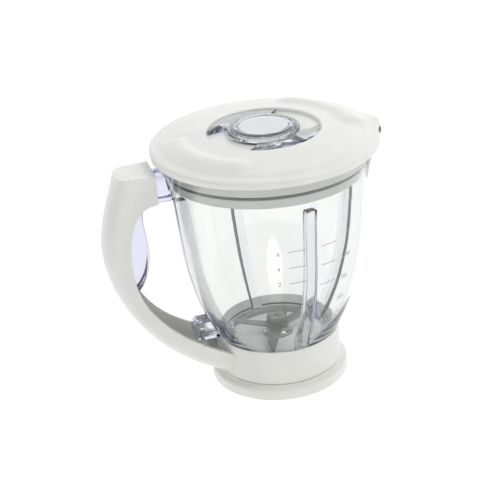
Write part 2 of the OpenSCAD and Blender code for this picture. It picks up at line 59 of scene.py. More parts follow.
# %% Start a piece and choose its parts
def only(obj):
    """Leaves just one object selected and active."""
    if bpy.context.mode != "OBJECT":
        bpy.ops.object.mode_set(mode="OBJECT")
    bpy.ops.object.select_all(action="DESELECT")
    obj.hide_set(False)
    obj.select_set(True)
    bpy.context.view_layer.objects.active = obj


def start(kind, name, **sizes):
    """Adds a primitive and moves its place into its mesh."""
    if bpy.context.mode != "OBJECT":
        bpy.ops.object.mode_set(mode="OBJECT")
    bpy.ops.object.select_all(action="DESELECT")
    add_primitive = {"plane": bpy.ops.mesh.primitive_plane_add,
                     "cube": bpy.ops.mesh.primitive_cube_add,
                     "cylinder": bpy.ops.mesh.primitive_cylinder_add,
                     "circle": bpy.ops.mesh.primitive_circle_add}[kind]
    add_primitive(**sizes)
    obj = bpy.context.active_object
    obj.name = obj.data.name = name
    bpy.ops.object.transform_apply(location=True, rotation=True, scale=True)
    return obj


def pick(obj, kind, test):
    """In edit mode, selects the vertices, edges or faces whose middle (in mm) passes a test."""
    bpy.ops.mesh.select_mode(type=kind)
    bpy.ops.mesh.select_all(action="DESELECT")
    shape = bmesh.from_edit_mesh(obj.data)
    found = 0
    for part in {"VERT": shape.verts, "EDGE": shape.edges, "FACE": shape.faces}[kind]:
        if kind == "VERT":
            middle, normal = part.co / MM, part.normal
        elif kind == "EDGE":
            middle = (part.verts[0].co + part.verts[1].co) / (2 * MM)
            normal = (part.verts[1].co - part.verts[0].co).normalized()
        else:
            middle, normal = part.calc_center_median() / MM, part.normal
        if test(middle, normal):
            part.select = True
            found += 1
    shape.select_flush_mode()
    bmesh.update_edit_mesh(obj.data)
    return found


# %% Draw, turn and thicken
def drawn(name, points, closed=True):
    """A line of vertices through points in mm: one vertex, extruded from place to place."""
    obj = start("plane", name, size=MM)
    bpy.ops.object.mode_set(mode="EDIT")
    bpy.ops.mesh.select_all(action="SELECT")
    bpy.ops.mesh.merge(type="CENTER")
    here = Vector((0, 0, 0))
    for number, point in enumerate(points):
        step = Vector(point) * MM - here
        if number == 0:
            bpy.ops.transform.translate(value=step)
        else:
            bpy.ops.mesh.extrude_vertices_move(TRANSFORM_OT_translate={"value": step})
        here += step
    if closed:
        bpy.ops.mesh.extrude_vertices_move(
            TRANSFORM_OT_translate={"value": Vector(points[0]) * MM - here})
    bpy.ops.mesh.select_all(action="SELECT")
    bpy.ops.mesh.remove_doubles(threshold=1e-6)
    return obj


def turned(name, profile, steps=192, closed=True):
    """Spins a profile of (radius, height) points about the upright axis, as on a lathe."""
    obj = drawn(name, [(r, 0, z) for r, z in profile], closed)
    bpy.ops.mesh.select_all(action="SELECT")
    bpy.ops.mesh.spin(steps=steps, angle=math.tau, center=(0, 0, 0), axis=(0, 0, 1))
    bpy.ops.mesh.select_all(action="SELECT")
    bpy.ops.mesh.remove_doubles(threshold=2e-6)
    bpy.ops.mesh.normals_make_consistent(inside=False)
    bpy.ops.object.mode_set(mode="OBJECT")
    return obj


def filled(name, points, push):
    """Fills a flat outline of points in mm and extrudes it by a push in metres."""
    obj = drawn(name, points)
    bpy.ops.mesh.edge_face_add()
    bpy.ops.mesh.extrude_region_move(TRANSFORM_OT_translate={"value": push})
    bpy.ops.mesh.select_all(action="SELECT")
    bpy.ops.mesh.normals_make_consistent(inside=False)
    bpy.ops.object.mode_set(mode="OBJECT")
    return obj


def plate(name, outline, width):
    """An outline of (x, z) points in mm, given its width evenly to both sides of y = 0."""
    return filled(name, [(x, -width / 2, z) for x, z in outline], (0, width * MM, 0))


def slab(name, outline, low, height):
    """An outline of (x, y) points in mm, extruded upwards from a height."""
    return filled(name, [(x, y, low) for x, y in outline], (0, 0, height * MM))


# %% Turn, copy, join and cut
def turn(obj, angle):
    """Turns a piece about the upright axis and keeps the turn in its mesh."""
    only(obj)
    obj.rotation_euler = (0, 0, math.radians(angle))
    bpy.ops.object.transform_apply(location=True, rotation=True, scale=True)
    return obj


def moved(obj, x):
    """Moves a piece along X by a distance in mm and keeps the move in its mesh."""
    obj.location = (x * MM, 0, 0)
    only(obj)
    bpy.ops.object.transform_apply(location=True)
    return obj


def copy_of(obj, angle):
    """A copy with a mesh of its own, turned about the upright axis."""
    only(obj)
    bpy.ops.object.duplicate(linked=False)
    return turn(bpy.context.active_object, angle)


def joined(name, pieces):
    """Makes one object of several."""
    only(pieces[0])
    for piece in pieces[1:]:
        piece.select_set(True)
    bpy.ops.object.join()
    pieces[0].name = pieces[0].data.name = name
    return pieces[0]


def carve(obj, tool, operation):
    """Unites, subtracts or intersects with a boolean modifier, and applies it."""
    only(obj)
    cut = obj.modifiers.new("carve", "BOOLEAN")
    cut.operation, cut.object, cut.solver = operation, tool, "EXACT"
    bpy.ops.object.modifier_apply(modifier=cut.name)
    bpy.data.objects.remove(tool)
    return obj


def rounded(obj, width, segments=2, angle=35):
    """Rounds every edge sharper than an angle by a width in mm."""
    only(obj)
    edge = obj.modifiers.new("edge", "BEVEL")
    edge.width, edge.segments = width * MM, segments
    edge.limit_method, edge.angle_limit = "ANGLE", math.radians(angle)
    edge.use_clamp_overlap = True
    edge.harden_normals = False
    bpy.ops.object.modifier_apply(modifier=edge.name)
    return obj


def smooth(obj, angle=35):
    """Shades a piece smoothly across edges flatter than an angle."""
    only(obj)
    bpy.ops.object.shade_smooth_by_angle(angle=math.radians(angle))
    return obj


def dress(obj, *materials):
    """Gives a piece its materials in place of any that it had."""
    obj.data.materials.clear()
    for material in materials:
        obj.data.materials.append(material)


def polar(radius, angle):
    """The point at a radius and an angle in degrees."""
    return radius * math.cos(math.radians(angle)), radius * math.sin(math.radians(angle))


def steps_between(low, high, count):
    """Evenly spaced values from low to high, both included."""
    return [low + (high - low) * i / count for i in range(count + 1)]


def arc(cx, cy, radius, first, last, count):
    """Points on an arc of a circle, angles in degrees."""
    return [(cx + x, cy + y) for x, y in (polar(radius, a) for a in steps_between(first, last, count))]


def report(obj):
    """Prints what a finished piece measures."""
    low = [min(v.co[i] for v in obj.data.vertices) / MM for i in range(3)]
    high = [max(v.co[i] for v in obj.data.vertices) / MM for i in range(3)]
    print("%-16s %6d faces, %s to %s mm" % (obj.name, len(obj.data.polygons),
          [round(v, 1) for v in low], [round(v, 1) for v in high]))

# %% [markdown]
# ## The jug's curve
# The goblet's wall is one line: a short upright foot, a tulip curve, a straight part that leans
# out by five degrees, and a cove that flares into the rim. The same four sizes that the CAD uses
# give the radius at any height, so that every piece that touches the wall can ask for it.

# %% The wall's radius at a height
lean = math.radians(5)
neck_r, neck_z, belly_z, rim_z = 77.0, 165.0, 125.0, 195.5
waist_r, waist_z, floor_z, flare_r, wall = 48.8, 40.0, 30.0, 76.0, 3.0
belly_r = neck_r - (neck_z - belly_z) * math.tan(lean)
arc_r, arc_z = waist_r - belly_r, waist_z - belly_z
tulip_r = (arc_r ** 2 + arc_z ** 2) / (2 * (arc_z * math.sin(lean) - arc_r * math.cos(lean)))
tulip_x, tulip_z = belly_r - tulip_r * math.cos(lean), belly_z + tulip_r * math.sin(lean)


def wall_r(z):
    """Outer radius of the goblet at height z, in mm."""
    if z < belly_z:
        return tulip_x + math.sqrt(tulip_r ** 2 - (z - tulip_z) ** 2)
    if z < neck_z:
        return belly_r + (z - belly_z) * math.tan(lean)
    return neck_r + flare_r * math.cos(lean) - math.sqrt(
        flare_r ** 2 - (z - neck_z + flare_r * math.sin(lean)) ** 2)


def inner_r(z):
    """Inner radius: the wall thickens from 3 mm to 6 mm towards the floor."""
    return wall_r(z) - wall - (3 * ((75 - z) / 45) ** 2 if z < 75 else 0)


bore_r = inner_r(floor_z)
foot_r = bore_r + 5.1
print("radius at the waist, belly, neck and rim:",
      [round(wall_r(z), 1) for z in (waist_z, belly_z, neck_z, rim_z)], "foot", round(foot_r, 1))

# %% [markdown]
# ## Materials
# Each finish is named for what it is and how it was made. One function turns a colour from a
# swatch (sRGB) into the linear light that a renderer mixes, and one adds a node with its settings
# and its links. Patterns read Object coordinates, which are metres on the piece itself, so a
# noise scale of 1000 means one wave to the millimetre.

# %% Two helpers for every material
def linear(swatch):
    """A hex sRGB swatch as linear red, green, blue and alpha."""
    parts = [int(swatch[i:i + 2], 16) / 255 for i in (1, 3, 5)]
    return tuple(p / 12.92 if p <= 0.04045 else ((p + 0.055) / 1.055) ** 2.4
                 for p in parts) + (1.0,)


def add(tree, kind, inputs=None, **settings):
    """Adds one node, with its settings, and with a value or a link for each input named."""
    made = tree.nodes.new(kind)
    for name, value in settings.items():
        setattr(made, name, value)
    for socket, value in (inputs or {}).items():
        if isinstance(value, bpy.types.NodeSocket):
            tree.links.new(value, made.inputs[socket])
        else:
            made.inputs[socket].default_value = value
    return made


def finish(name, swatch, roughness, **sockets):
    """A new material with its constant values set on the shader's own sockets."""
    made = bpy.data.materials.new(name)
    made.use_nodes = True
    shader = made.node_tree.nodes["Principled BSDF"]
    shader.inputs["Base Color"].default_value = linear(swatch)
    shader.inputs["Roughness"].default_value = roughness
    for socket, value in sockets.items():
        shader.inputs[socket.replace("_", " ")].default_value = value
    place = add(made.node_tree, "ShaderNodeTexCoord").outputs["Object"]
    return made, made.node_tree, shader, place


def noise(tree, place, scale, detail=3.0, stretch=(1, 1, 1), rough=0.5):
    """The value of a noise pattern, stretched along an axis where its scale there is small."""
    spot = add(tree, "ShaderNodeMapping", {"Vector": place, "Scale": stretch}).outputs[0]
    return add(tree, "ShaderNodeTexNoise", {"Vector": spot, "Scale": scale, "Detail": detail,
                                            "Roughness": rough}).outputs[0]


def vary(tree, shader, pattern, first, second, low=0.3, high=0.7):
    """Lets a pattern drift the base colour between two swatches."""
    amount = add(tree, "ShaderNodeMapRange", {0: pattern, 1: low, 2: high}).outputs[0]
    mixed = add(tree, "ShaderNodeMix", {0: amount, 6: linear(first), 7: linear(second)},
                data_type="RGBA")
    tree.links.new(mixed.outputs[2], shader.inputs["Base Color"])


def vary_roughness(tree, shader, pattern, low, high):
    """Lets a pattern drift the roughness between two values."""
    amount = add(tree, "ShaderNodeMapRange", {0: pattern, 1: 0.3, 2: 0.7, 3: low, 4: high})
    tree.links.new(amount.outputs[0], shader.inputs["Roughness"])


def relief(tree, shader, pattern, depth, strength=1.0):
    """Bumps the surface by a pattern, depth in mm."""
    bump = add(tree, "ShaderNodeBump", {"Height": pattern, "Distance": depth * MM,
                                        "Strength": strength})
    tree.links.new(bump.outputs[0], shader.inputs["Normal"])

# %% [markdown]
# ### White moulded ABS
# The lid, handle and base ring are ABS, injection moulded in a polished tool: satin gloss, a
# faintly warm white, an orange-peel ripple of a millimetre or so that softens reflections, and
# slow flow marks in the gloss. ABS has an IOR of about 1.54.

# %% White ABS
abs_white, tree, shader, place = finish("abs_moulded_white", "#e6e6e0", 0.34, IOR=1.54)
vary(tree, shader, noise(tree, place, 45, 2), "#e8e8e2", "#e2e3dd")
vary_roughness(tree, shader, noise(tree, place, 260, 4), 0.28, 0.40)
relief(tree, shader, noise(tree, place, 900, 2), 0.006, 0.5)

# %% [markdown]
# ### Clear moulded SAN
# The goblet and the filler cap are SAN, a clear styrene plastic with an IOR of 1.57. It is
# polished, carries a trace of blue dye that shows as lavender where light runs along the wall,
# and has slow ripples where it flowed into the mould. The dye is a Volume Absorption of constant
# density, because it tints light by the length of its way through the plastic: a wall seen
# square on stays clear, and an edge seen end on turns lavender. The dished face of the cap's
# button was spark-eroded, so it scatters light and looks milky.

# %% Clear and frosted SAN
san_clear, tree, shader, place = finish("san_moulded_clear", "#f8f9f5", 0.0, IOR=1.57)
shader.inputs["Transmission Weight"].default_value = 1.0
vary(tree, shader, noise(tree, place, 30, 2), "#f9faf6", "#f7f8f3")
vary_roughness(tree, shader, noise(tree, place, 60, 2), 0.0, 0.02)
relief(tree, shader, noise(tree, place, 45, 1), 0.05, 0.35)
dye = add(tree, "ShaderNodeVolumeAbsorption", {"Color": (0.58, 0.60, 0.84, 1), "Density": 30.0})
tree.links.new(dye.outputs[0], tree.nodes["Material Output"].inputs["Volume"])

san_frosted, tree, shader, place = finish("san_spark_eroded", "#fafbfb", 0.6, IOR=1.57)
shader.inputs["Transmission Weight"].default_value = 0.3
vary(tree, shader, noise(tree, place, 900, 3), "#fcfcfc", "#f6f7f8")
relief(tree, shader, noise(tree, place, 1600, 3), 0.02, 0.6)

# %% [markdown]
# ### Metals
# The blades are stamped stainless steel whose faces were ground, which leaves fine parallel
# scratches and a grey-green sheen. The shaft, washers and bearing housing were turned, so their
# marks run round the axis. Screws and nut are zinc plated, and the bearings are sintered bronze,
# a pressed powder with open pores. A metal keeps its default IOR.

# %% Ground, turned and plated metal
steel_ground, tree, shader, place = finish("stainless_ground", "#777b75", 0.36, Metallic=1.0)
scratch = noise(tree, place, 500, 4, (0.06, 1, 1), 0.7)
vary(tree, shader, scratch, "#81857f", "#656964")
vary_roughness(tree, shader, scratch, 0.26, 0.46)
relief(tree, shader, scratch, 0.02, 0.6)
shader.inputs["Anisotropic"].default_value = 0.4

steel_turned, tree, shader, place = finish("stainless_turned", "#a9aba7", 0.28, Metallic=1.0)
rings = add(tree, "ShaderNodeTexWave", {"Vector": place, "Scale": 420, "Distortion": 1.5,
                                        "Detail": 2}, wave_type="RINGS",
            rings_direction="Z").outputs[1]
vary(tree, shader, rings, "#b0b2ae", "#9b9e99", 0.1, 0.9)
vary_roughness(tree, shader, noise(tree, place, 300, 3), 0.22, 0.36)
relief(tree, shader, rings, 0.008, 0.5)

zinc_plated, tree, shader, place = finish("zinc_plated_steel", "#b9bcc0", 0.4, Metallic=1.0)
vary(tree, shader, noise(tree, place, 700, 4), "#c3c6ca", "#9fa3a8")
vary_roughness(tree, shader, noise(tree, place, 500, 3), 0.3, 0.55)
relief(tree, shader, noise(tree, place, 1400, 3), 0.01, 0.5)

bronze_sintered, tree, shader, place = finish("bronze_sintered", "#a87a4c", 0.55, Metallic=1.0)
vary(tree, shader, noise(tree, place, 2200, 4), "#b88a58", "#6f4e30")
relief(tree, shader, noise(tree, place, 2600, 3), 0.03, 0.8)

# %% [markdown]
# ### Grey plastic, rubbers and ink
# The blade carrier is a grey polypropylene with a matt, finely eroded face. Seals are moulded
# silicone, a soft blue-grey with a dull skin. The coupler is black rubber with carbon in it, and
# the scale on the wall is a thin grey ink that lets some light through.

# %% Grey plastic, rubbers and ink
pp_grey, tree, shader, place = finish("polypropylene_grey", "#f2f2f0", 0.4, IOR=1.49)
vary(tree, shader, noise(tree, place, 60, 3), "#f5f5f3", "#ecedeb")
relief(tree, shader, noise(tree, place, 1500, 2), 0.012, 0.6)

silicone, tree, shader, place = finish("silicone_moulded", "#5d6068", 0.5, IOR=1.43)
vary(tree, shader, noise(tree, place, 250, 3), "#666972", "#4f525a")
relief(tree, shader, noise(tree, place, 1200, 2), 0.01, 0.5)

rubber_black, tree, shader, place = finish("rubber_moulded_black", "#26262a", 0.6, IOR=1.52)
vary(tree, shader, noise(tree, place, 300, 4), "#2c2c30", "#19191c")
relief(tree, shader, noise(tree, place, 1500, 3), 0.02, 0.7)

ink_grey, tree, shader, place = finish("ink_printed_grey", "#a2a4a8", 0.6, IOR=1.5)
vary(tree, shader, noise(tree, place, 1800, 3), "#a9abaf", "#93959a")

print("materials:", [m.name for m in bpy.data.materials if m.name[0] != "_"])

# %% [markdown]
# ## The goblet
# The real goblet is one SAN moulding: wall, ribs, spout, grip and lugs run into each other with
# no joint between them. It could be made of overlapping pieces, but light would bend again at
# each hidden face, so the finished mesh has to be one closed skin. It is spun from a profile
# first, with a rounded lip. The spout is then drawn out of the rim with proportional editing,
# which moves the neighbours of the chosen vertices less and less with distance. The finished
# goblet casts no shadow: a renderer would otherwise darken all that stands behind clear plastic,
# while the real wall lets the light through.

# %% Spin the wall
outside = [(wall_r(z), z) for z in steps_between(33.7, belly_z, 34)]
outside += [(wall_r(z), z) for z in steps_between(belly_z + 8, neck_z, 5)]
outside += [(wall_r(z), z) for z in steps_between(neck_z + 2.5, rim_z - 1.6, 14)]
lip_r = wall_r(rim_z - 1.6)
lip = arc(lip_r - 1.5, rim_z - 1.6, 1.5, 15, 165, 8)
inside = [(inner_r(z), z) for z in steps_between(rim_z - 2.4, neck_z, 14)]
inside += [(inner_r(z), z) for z in steps_between(neck_z - 8, belly_z, 5)]
inside += [(inner_r(z), z) for z in steps_between(belly_z - 3, floor_z + 0.6, 36)]
foot = [(bore_r, floor_z - 0.4), (bore_r, 22.1), (bore_r + 0.6, 21.5), (foot_r - 0.6, 21.5),
        (foot_r, 22.1), (foot_r, 33.0), (foot_r + 0.7, 33.5)]
goblet = turned("goblet_clear", foot + outside + lip + inside)
report(goblet)

# %% Draw out the spout
only(goblet)
bpy.ops.object.mode_set(mode="EDIT")
count = pick(goblet, "VERT", lambda m, n: m.z > rim_z - 3 and m.x > 0
             and abs(math.degrees(math.atan2(m.y, m.x))) < 5)
bpy.ops.transform.translate(value=(5.0 * MM, 0, 0), use_proportional_edit=True,
                            proportional_edit_falloff="SMOOTH", proportional_size=24 * MM)
bpy.ops.object.mode_set(mode="OBJECT")
print("spout drawn from", count, "vertices")
report(goblet)

# %% [markdown]
# ### Ribs, grip and lugs
# Each rib is a flat outline given its width, with its edges rounded as moulded edges are. It runs
# from the floor to the neck and sinks half-way into the wall. The grip is the same kind of plate:
# its inner side bulges into the hand, its outer side lies in the handle's channel, and its upper
# end reaches the wall as the top lug. A boolean modifier unites them with the wall.

# %% Four inner ribs
rib_low, rib_high, rib_depth, rib_angle = floor_z + 1.2, neck_z + 1.5, 8, 10
rib_line = [(bore_r + 1.0, rib_low)]
rib_line += [(wall_r(z) - 1.6 if z > 34 else foot_r - 1.2, z)
             for z in steps_between(rib_low, rib_high, 24)]
rib_line += [(inner_r(rib_high) - 6.8, rib_high - 0.2)]
rib_line += [(inner_r(rib_high) - rib_depth, rib_high - 3)]
rib_line += [(inner_r(z) - rib_depth, z) for z in steps_between(rib_high - 8, floor_z + 12, 22)]
rib = rounded(plate("rib", rib_line, 8), 0.7, 2, 40)
turn(rib, rib_angle)
ribs = joined("ribs", [rib] + [copy_of(rib, 90 * k) for k in (1, 2, 3)])
carve(goblet, ribs, "UNION")
report(goblet)

# %% Points along a smooth curve
def curve(points, count):
    """Points along a Bezier curve given by its four control points."""
    p = [Vector(q) for q in points]
    return [(1 - t) ** 3 * p[0] + 3 * (1 - t) ** 2 * t * p[1] + 3 * (1 - t) * t * t * p[2]
            + t ** 3 * p[3] for t in (i / count for i in range(count + 1))]


def inward(line, distance):
    """The same line moved sideways, to the left of the way it runs."""
    moved = []
    for i, point in enumerate(line):
        way = (line[min(i + 1, len(line) - 1)] - line[max(i - 1, 0)]).normalized()
        moved.append(point + distance * Vector((-way.y, way.x)))
    return moved


# %% The handle's four curves
screw_x, grip_half, widen_x = -61.4, 15.5, -99.8
reach, top_z, grip_z, top_x, shell_end = 131.8, 188.0, 127.84, 116.8, wall_r(rim_z) + 1.2
edge_x, edge_z, arm_low, arm_high, foot_x = 112.2, 165.6, 13.2, 32.4, 48.0
outer_top = curve([(-top_x, top_z), (-top_x - 5.5, top_z - 18), (-reach, grip_z + 20),
                   (-reach, grip_z)], 20)
outer_low = curve([(-reach, grip_z), (-reach, grip_z - 42), (-reach + 33, arm_low + 17),
                   (-foot_x, arm_low)], 36)
edge_top = curve([(-shell_end, edge_z), (-shell_end - 16, edge_z), (-edge_x, grip_z + 20),
                  (-edge_x, grip_z - 6)], 14)
edge_low = curve([(-edge_x, grip_z - 6), (-edge_x, grip_z - 36), (-edge_x + 8, arm_high + 26),
                  (-43.3, arm_high)], 36)
print("handle reaches", round(-min(p.x for p in outer_top), 1), "mm")

# %% The clear grip, its top lug and the bottom lug
bulge_x, core_low = edge_x - 15, grip_z - 35
grip_top = curve([(-shell_end, edge_z - 1.4), (-shell_end - 17, edge_z - 1.4),
                  (-bulge_x - 2, grip_z + 26), (-bulge_x, grip_z)], 18)
grip_end = curve([(-bulge_x, grip_z), (-bulge_x, grip_z - 16), (-bulge_x - 6, core_low + 4),
                  (-edge_x + 1, core_low)], 16)
back = [p for p in inward(outer_top, 3.3) if p.y < top_z - 3.3]
back += [p for p in inward(outer_low, 3.3)[1:] if p.y > core_low + 1]
lug_wall = wall_r(edge_z) - wall / 2
grip_line = [(-lug_wall, top_z - 3.3)] + [tuple(p) for p in back]
grip_line += [tuple(p) for p in reversed(grip_end)] + [tuple(p) for p in reversed(grip_top[:-1])]
grip_line += [(-lug_wall, edge_z - 1.4)]
grip = rounded(plate("grip", grip_line, 24.4), 2.6, 4, 50)
lug = plate("lug", [(-wall_r(55.7) + 1.5, 55.7), (-64.7, 55.7), (-68.2, 52.2), (-68.2, 43.7),
                    (-64.7, 40.2), (-wall_r(40.2) + 1.5, 40.2)], 14)
rounded(lug, 0.6, 2, 20)
carve(goblet, grip, "UNION")
carve(goblet, lug, "UNION")
hole = start("cylinder", "screw_hole", radius=1.5 * MM, depth=10 * MM, vertices=32,
             location=(screw_x * MM, 0, 43.0 * MM))
carve(goblet, hole, "DIFFERENCE")

# %% Three bayonet lugs under the foot
for k in range(3):
    ends = [120 * k + a for a in steps_between(-12, 12, 8)]
    line = [polar(foot_r + 1.7, a) for a in ends] + [polar(foot_r - 1, a) for a in reversed(ends)]
    carve(goblet, slab("bayonet", line, 24, 3), "UNION")
only(goblet)
bpy.ops.object.mode_set(mode="EDIT")
bpy.ops.mesh.select_all(action="SELECT")
bpy.ops.mesh.remove_doubles(threshold=5e-6)
bpy.ops.mesh.dissolve_degenerate(threshold=5e-6)
bpy.ops.object.mode_set(mode="OBJECT")
smooth(goblet, 28)
dress(goblet, san_clear)
goblet.visible_shadow = False
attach(goblet, "goblet")
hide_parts("goblet", "goblet_rim", "goblet_ribs", "handle_core")
report(goblet)

# %% [markdown]
# ## The handle shell
# The real handle is a white C-shaped cover, moulded in one with the collar and open towards the
# goblet. Its section changes all the way down: a flat-topped D at the top, a channel at the grip,
# and a wide arm where it meets the collar. Extruding one outline can't follow that, so this piece
# is lofted in code: a row of U-shaped sections between the outer curve and the inner edge, joined
# by faces. The Solidify modifier then gives it a 3 mm wall, and booleans add the collar and clear
# the space for the goblet.

# %% Pair the two long curves
def along(line, share):
    """The point a share of the way along a line, by length."""
    lengths = [(b - a).length for a, b in zip(line, line[1:])]
    left = share * sum(lengths)
    for a, b, length in zip(line, line[1:], lengths):
        if left <= length:
            return a + (b - a) * (left / length)
        left -= length
    return line[-1].copy()


inner_top = [Vector((-shell_end, top_z)), Vector((-shell_end, edge_z))] + edge_top[1:]
drop = (top_z - edge_z) / ((top_z - edge_z) + sum((b - a).length
                           for a, b in zip(edge_top, edge_top[1:])))
shares = steps_between(0, drop, 6) + steps_between(drop, 1, 20)[1:]
outer_line = [along(outer_top, s) for s in shares] + outer_low[1:]
inner_line = [along(inner_top, s) for s in shares] + edge_low[1:]
for line in (outer_line, inner_line):
    way = (line[-1] - line[-2]).normalized()
    line += [line[-1] + way * 5, line[-1] + way * 10]
print("sections in the handle:", len(outer_line))

# %% Loft the sections
def half_width(x, z):
    """Half the handle's width: narrowest at the grip, wider towards the goblet at both ends."""
    if z > 100:
        return grip_half + 1.5 * max(0, min(1, (x - widen_x) / (-widen_x - shell_end)))
    share = max(0, min(1, (x - widen_x) / 56.5))
    return grip_half + 9.5 * share


def section(outer, inner):
    """A U: two straight sides and a rounded back, from the near edge round to the far one."""
    span = (outer - inner).length
    turn_in = min(15.0, 0.62 * span) / span
    half = []
    for s in steps_between(0, 1 - turn_in, 4)[:-1]:
        half.append((s, 1.0))
    for a in steps_between(0, 90, 14):
        half.append((1 - turn_in + turn_in * math.sin(math.radians(a)) ** (2 / 2.5),
                     math.cos(math.radians(a)) ** (2 / 2.5) if a < 90 else 0.0))
    ring = []
    for s, side in half:
        p = inner + (outer - inner) * s
        ring.append((p.x, -side * half_width(p.x, p.y), p.y))
    return ring + [(x, -y, z) for x, y, z in reversed(ring[:-1])]


sections = [section(o, i) for o, i in zip(outer_line, inner_line)]
shape = bmesh.new()
rows = [[shape.verts.new(Vector(p) * MM) for p in ring] for ring in sections]
for upper, lower in zip(rows, rows[1:]):
    for i in range(len(upper) - 1):
        shape.faces.new((upper[i], lower[i], lower[i + 1], upper[i + 1]))
shape.faces.new(rows[0])
bmesh.ops.recalc_face_normals(shape, faces=shape.faces)
handle_mesh = bpy.data.meshes.new("handle_shell_white")
shape.to_mesh(handle_mesh)
shape.free()
handle = bpy.data.objects.new("handle_shell_white", handle_mesh)
scene.collection.objects.link(handle)
outward = sum(f.normal.x for f in handle_mesh.polygons if f.center.x < -0.125)
print("skin faces outwards:", outward < 0)

# %% Give it a wall, a collar and room for the goblet
only(handle)
if outward > 0:
    handle_mesh.flip_normals()
skin = handle.modifiers.new("skin", "SOLIDIFY")
skin.thickness, skin.offset, skin.use_even_offset = wall * MM, -1, True
bpy.ops.object.modifier_apply(modifier="skin")
collar_line = [(0, 11.3), (48.7, 11.3), (49.3, 11.9), (49.3, 38.9)]
collar_line += arc(48.2, 38.9, 1.1, 0, 90, 5)[1:] + [(0, 40)]
collar = turned("collar", collar_line, 192, closed=False)
carve(handle, collar, "UNION")
room = turned("room", [(0, 5), (46.6, 5), (46.6, 33.7)]
              + [(wall_r(z) + 0.1, z) for z in steps_between(33.7, 110, 30)] + [(0, 110)],
              192, closed=False)
carve(handle, room, "DIFFERENCE")
report(handle)

# %% The screw post inside the arm
post = turned("post", [(0, 20.2), (5.4, 20.2), (5.4, 26.8), (3.9, 27.3), (3.9, 40.1), (0, 40.1)],
              48, closed=False)
carve(handle, moved(post, screw_x), "UNION")
bore = turned("bore", [(0, 0), (3.6, 0), (3.6, 25.2), (1.9, 25.2), (1.9, 50), (0, 50)],
              48, closed=False)
carve(handle, moved(bore, screw_x), "DIFFERENCE")
rounded(handle, 0.5, 2, 40)
smooth(handle, 30)
dress(handle, abs_white)
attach(handle, "goblet")
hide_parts("handle_shell")
report(handle)

# %% [markdown]
# ## The lid
# The lid is a thin white dome with a recess for the filler cap, a skirt that drops into the
# goblet, a beak over the spout, and two curved finger ridges. The profile is spun with closely
# spaced rings, because the beak and the ridges are raised by proportional editing, and a smooth
# slope needs vertices to bend. The smooth falloff gives a ridge its soft sides, and the sharp
# one gives the beak its hollow flanks.

# %% The lid's profile
lid_z, lid_r, dome_foot, dome_h = 196.0, 87.0, 198.4, 9
dome_ball = (lid_r ** 2 + dome_h ** 2) / (2 * dome_h)
skirt_low, groove_low, groove_high, filler_r = 173.5, 181.5, 183.9, 25.0


def dome(r):
    """Height of the lid's upper face at radius r, in mm."""
    return dome_foot + dome_h - dome_ball + math.sqrt(dome_ball ** 2 - r * r)


def brow(r):
    """The dome stands a little proud inside its rim band."""
    share = max(0.0, min(1.0, (80.5 - r) / 4.0))
    return 0.9 * share * share * (3 - 2 * share)


recess_z = dome(42.6) - 2.6
lid_top = [(r, dome(r) + brow(r) - 0.25) for r in steps_between(44.0, 84.0, 36)]
edge_high = lid_top[-1][1]
lid_edge = [(84.0 + 2.95 * math.sin(math.radians(a)),
             edge_high - 2.1 * (1 - math.cos(math.radians(a)))) for a in (20, 40, 60, 78, 90)]
lid_edge += [(86.95, 195.2), (86.8, 193.6), (86.5, 193.0), (86.15, 192.9), (86.0, 193.3)]
lid_edge += [(86.0, 194.6), (86.0, 195.9), (84.2, 195.9)]
skirt = [(inner_r(z) - 1.2, z) for z in steps_between(lid_z - 0.6, 184.3, 5)]
groove = [(inner_r(z) - 2.2, z) for z in (groove_high, groove_low)]
skirt_foot = [(inner_r(z) - 1.2, z) for z in (181.1, 178.5, 176, 174)]
skirt_foot += [(inner_r(skirt_low) - 1.6, skirt_low), (inner_r(skirt_low) - 3.8, skirt_low),
               (inner_r(174) - 4.2, 174.0), (inner_r(178) - 4.2, 178.0)]
under = [(inner_r(z) - 4.2, z) for z in steps_between(183, lid_z - 1.5, 4)]
under += [(r, dome(r) - 2.7) for r in steps_between(79, 47.5, 24)]
under += [(45.6, recess_z - 2.6), (28.2, recess_z - 2.5), (27.5, recess_z - 3.2), (27.5, 192.0),
          (27.1, 191.6), (25.4, 191.6), (filler_r, 192.0)]
recess = [(filler_r, recess_z - 0.5), (25.5, recess_z)]
recess += [(r, recess_z) for r in (30, 35, 39)] + [(41.9, recess_z), (42.4, recess_z + 0.3),
                                                  (42.6, recess_z + 0.9), (42.7, recess_z + 1.8)]
recess += [(43.1, dome(43.1) - 0.05)]
lid = turned("lid_white", recess + lid_top + lid_edge + skirt + groove + skirt_foot + under, 256)
report(lid)

# %% Raise the beak and the two finger ridges
def degrees(m):
    """A point's angle about the upright axis, from 0 to 360."""
    return math.degrees(math.atan2(m.y, m.x)) % 360


only(lid)
bpy.ops.object.mode_set(mode="EDIT")
for side in (1, -1):
    pick(lid, "VERT", lambda m, n: m.z > lid_z - 0.1 and math.hypot(m.x, m.y) > 85.3
         and 11 < math.degrees(math.atan2(m.y * side, m.x)) < 15)
    bpy.ops.transform.translate(value=(-1.5 * MM, 0, 0), use_proportional_edit=True,
                                proportional_edit_falloff="SMOOTH", proportional_size=12 * MM)
pick(lid, "VERT", lambda m, n: m.z < lid_z - 0.5 and math.hypot(m.x, m.y) > 85.5
     and abs(math.degrees(math.atan2(m.y, m.x))) < 12)
bpy.ops.transform.resize(value=(1, 1, 0.02), center_override=(0, 0, (lid_z - 0.1) * MM))
pick(lid, "VERT", lambda m, n: m.z > lid_z - 0.2 and m.x > 85.3 and abs(m.y) < 2.2)
bpy.ops.transform.translate(value=(3.9 * MM, 0, 1.6 * MM), use_proportional_edit=True,
                            proportional_edit_falloff="SHARP", proportional_size=30 * MM)
